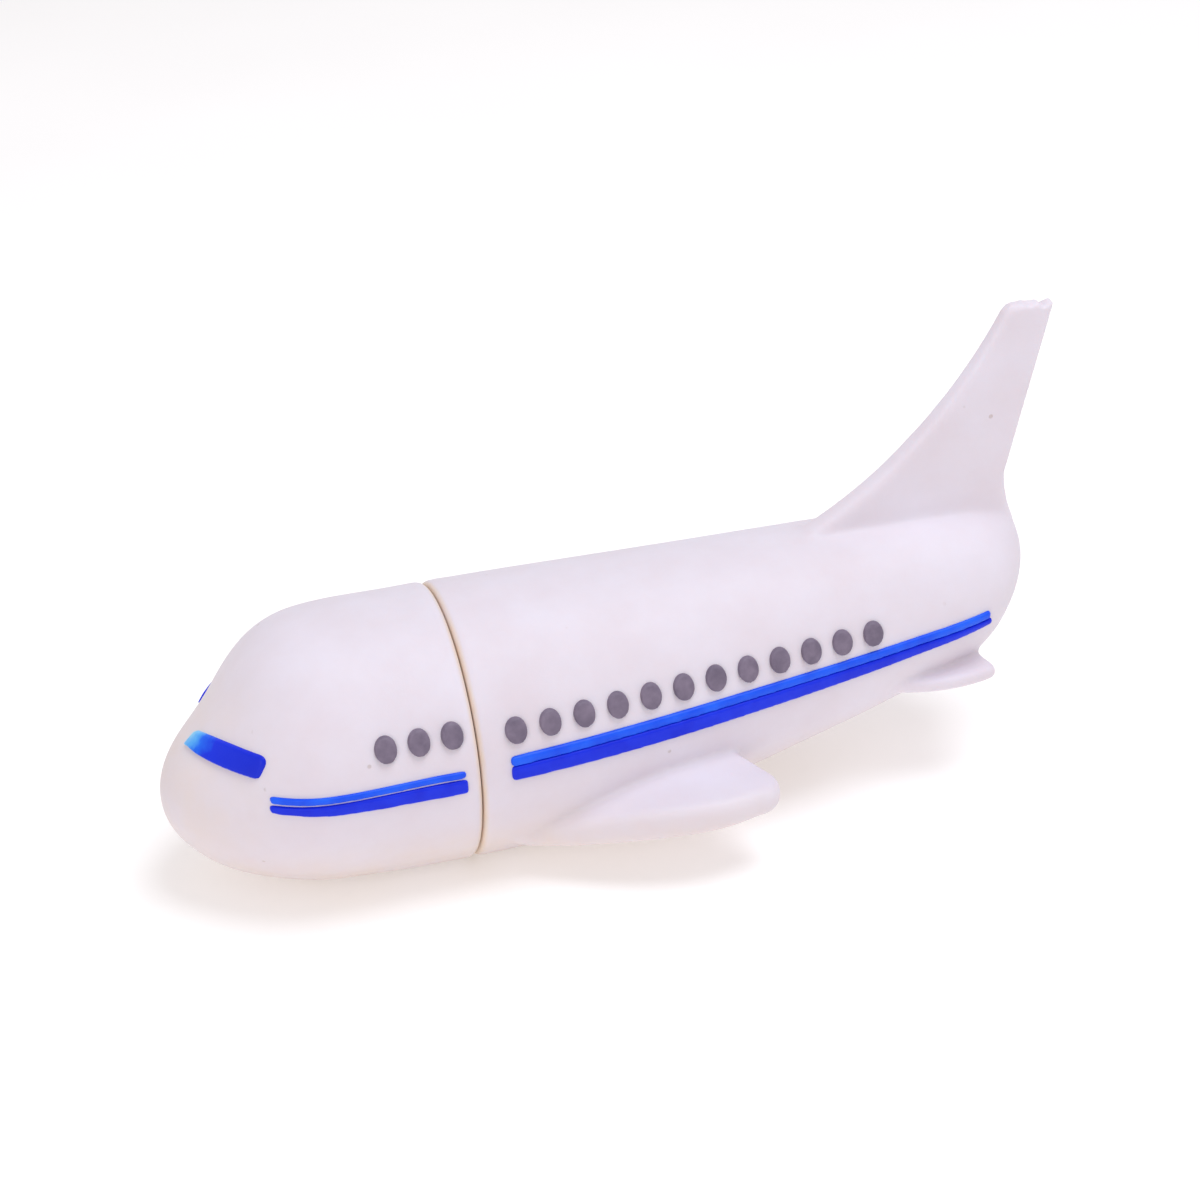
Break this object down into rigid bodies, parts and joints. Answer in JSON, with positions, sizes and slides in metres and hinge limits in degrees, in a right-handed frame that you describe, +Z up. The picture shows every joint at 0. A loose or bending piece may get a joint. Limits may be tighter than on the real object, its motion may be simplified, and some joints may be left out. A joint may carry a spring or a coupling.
{
  "type": "usb flash drive",
  "caption": "Airliner-shaped soft PVC USB flash drive: the nose is a pull-off cap over a USB-A plug, with raised grey windows, blue windshield and blue side stripes",
  "frame": {"origin": "bottom centre of the bounding box, with the flat belly on the ground plane z = 0", "axes": "+X towards the nose and along the plug, +Y to port, +Z up"},
  "size_m": [0.0741, 0.0306, 0.0375],
  "materials": {
    "white_pvc": "matte off-white soft PVC",
    "windshield_blue": "royal blue PVC fill, paler at its front end",
    "window_grey": "mid grey PVC fill",
    "stripe_blue_light": "bright blue PVC fill",
    "stripe_blue_deep": "deep blue PVC fill",
    "liner_white": "hard white ABS",
    "case_grey": "dark grey ABS",
    "board_green": "green solder mask on glass-epoxy",
    "plug_steel": "nickel-plated stamped steel",
    "tongue_white": "white moulded insulator",
    "contact_gold": "gold-plated contacts",
    "chip_black": "black epoxy moulding compound",
    "lead_tin": "tinned copper alloy leads",
    "crystal_can": "metal can of the crystal",
    "capacitor_tan": "ceramic capacitors",
    "resistor_black": "thick-film resistors",
    "led_clear": "clear LED lens"
  },
  "bodies": {
    "fuselage": {"fuselage_shell_port": "white_pvc", "body_windows_port": "window_grey", "body_stripe_upper_port": "stripe_blue_light", "body_stripe_lower_port": "stripe_blue_deep", "fuselage_shell_starboard": "white_pvc", "body_windows_starboard": "window_grey", "body_stripe_upper_starboard": "stripe_blue_light", "body_stripe_lower_starboard": "stripe_blue_deep", "core_case_upper": "case_grey", "core_case_lower": "case_grey", "circuit_board": "board_green", "usb_plug_shell": "plug_steel", "usb_tongue": "tongue_white", "usb_contacts": "contact_gold", "controller_chip": "chip_black", "controller_leads": "lead_tin", "flash_chip": "chip_black", "flash_leads": "lead_tin", "crystal": "crystal_can", "capacitors": "capacitor_tan", "resistors": "resistor_black", "status_led": "led_clear"},
    "cap": {"cap_shell_port": "white_pvc", "windshield_port": "windshield_blue", "cap_windows_port": "window_grey", "cap_stripe_upper_port": "stripe_blue_light", "cap_stripe_lower_port": "stripe_blue_deep", "cap_shell_starboard": "white_pvc", "windshield_starboard": "windshield_blue", "cap_windows_starboard": "window_grey", "cap_stripe_upper_starboard": "stripe_blue_light", "cap_stripe_lower_starboard": "stripe_blue_deep", "cap_liner": "liner_white"}
  },
  "joints": [
    {"name": "cap_pull", "type": "slide", "parent": "fuselage", "child": "cap", "axis": [1, 0, 0], "range_m": [0, 0.02]}
  ]
}
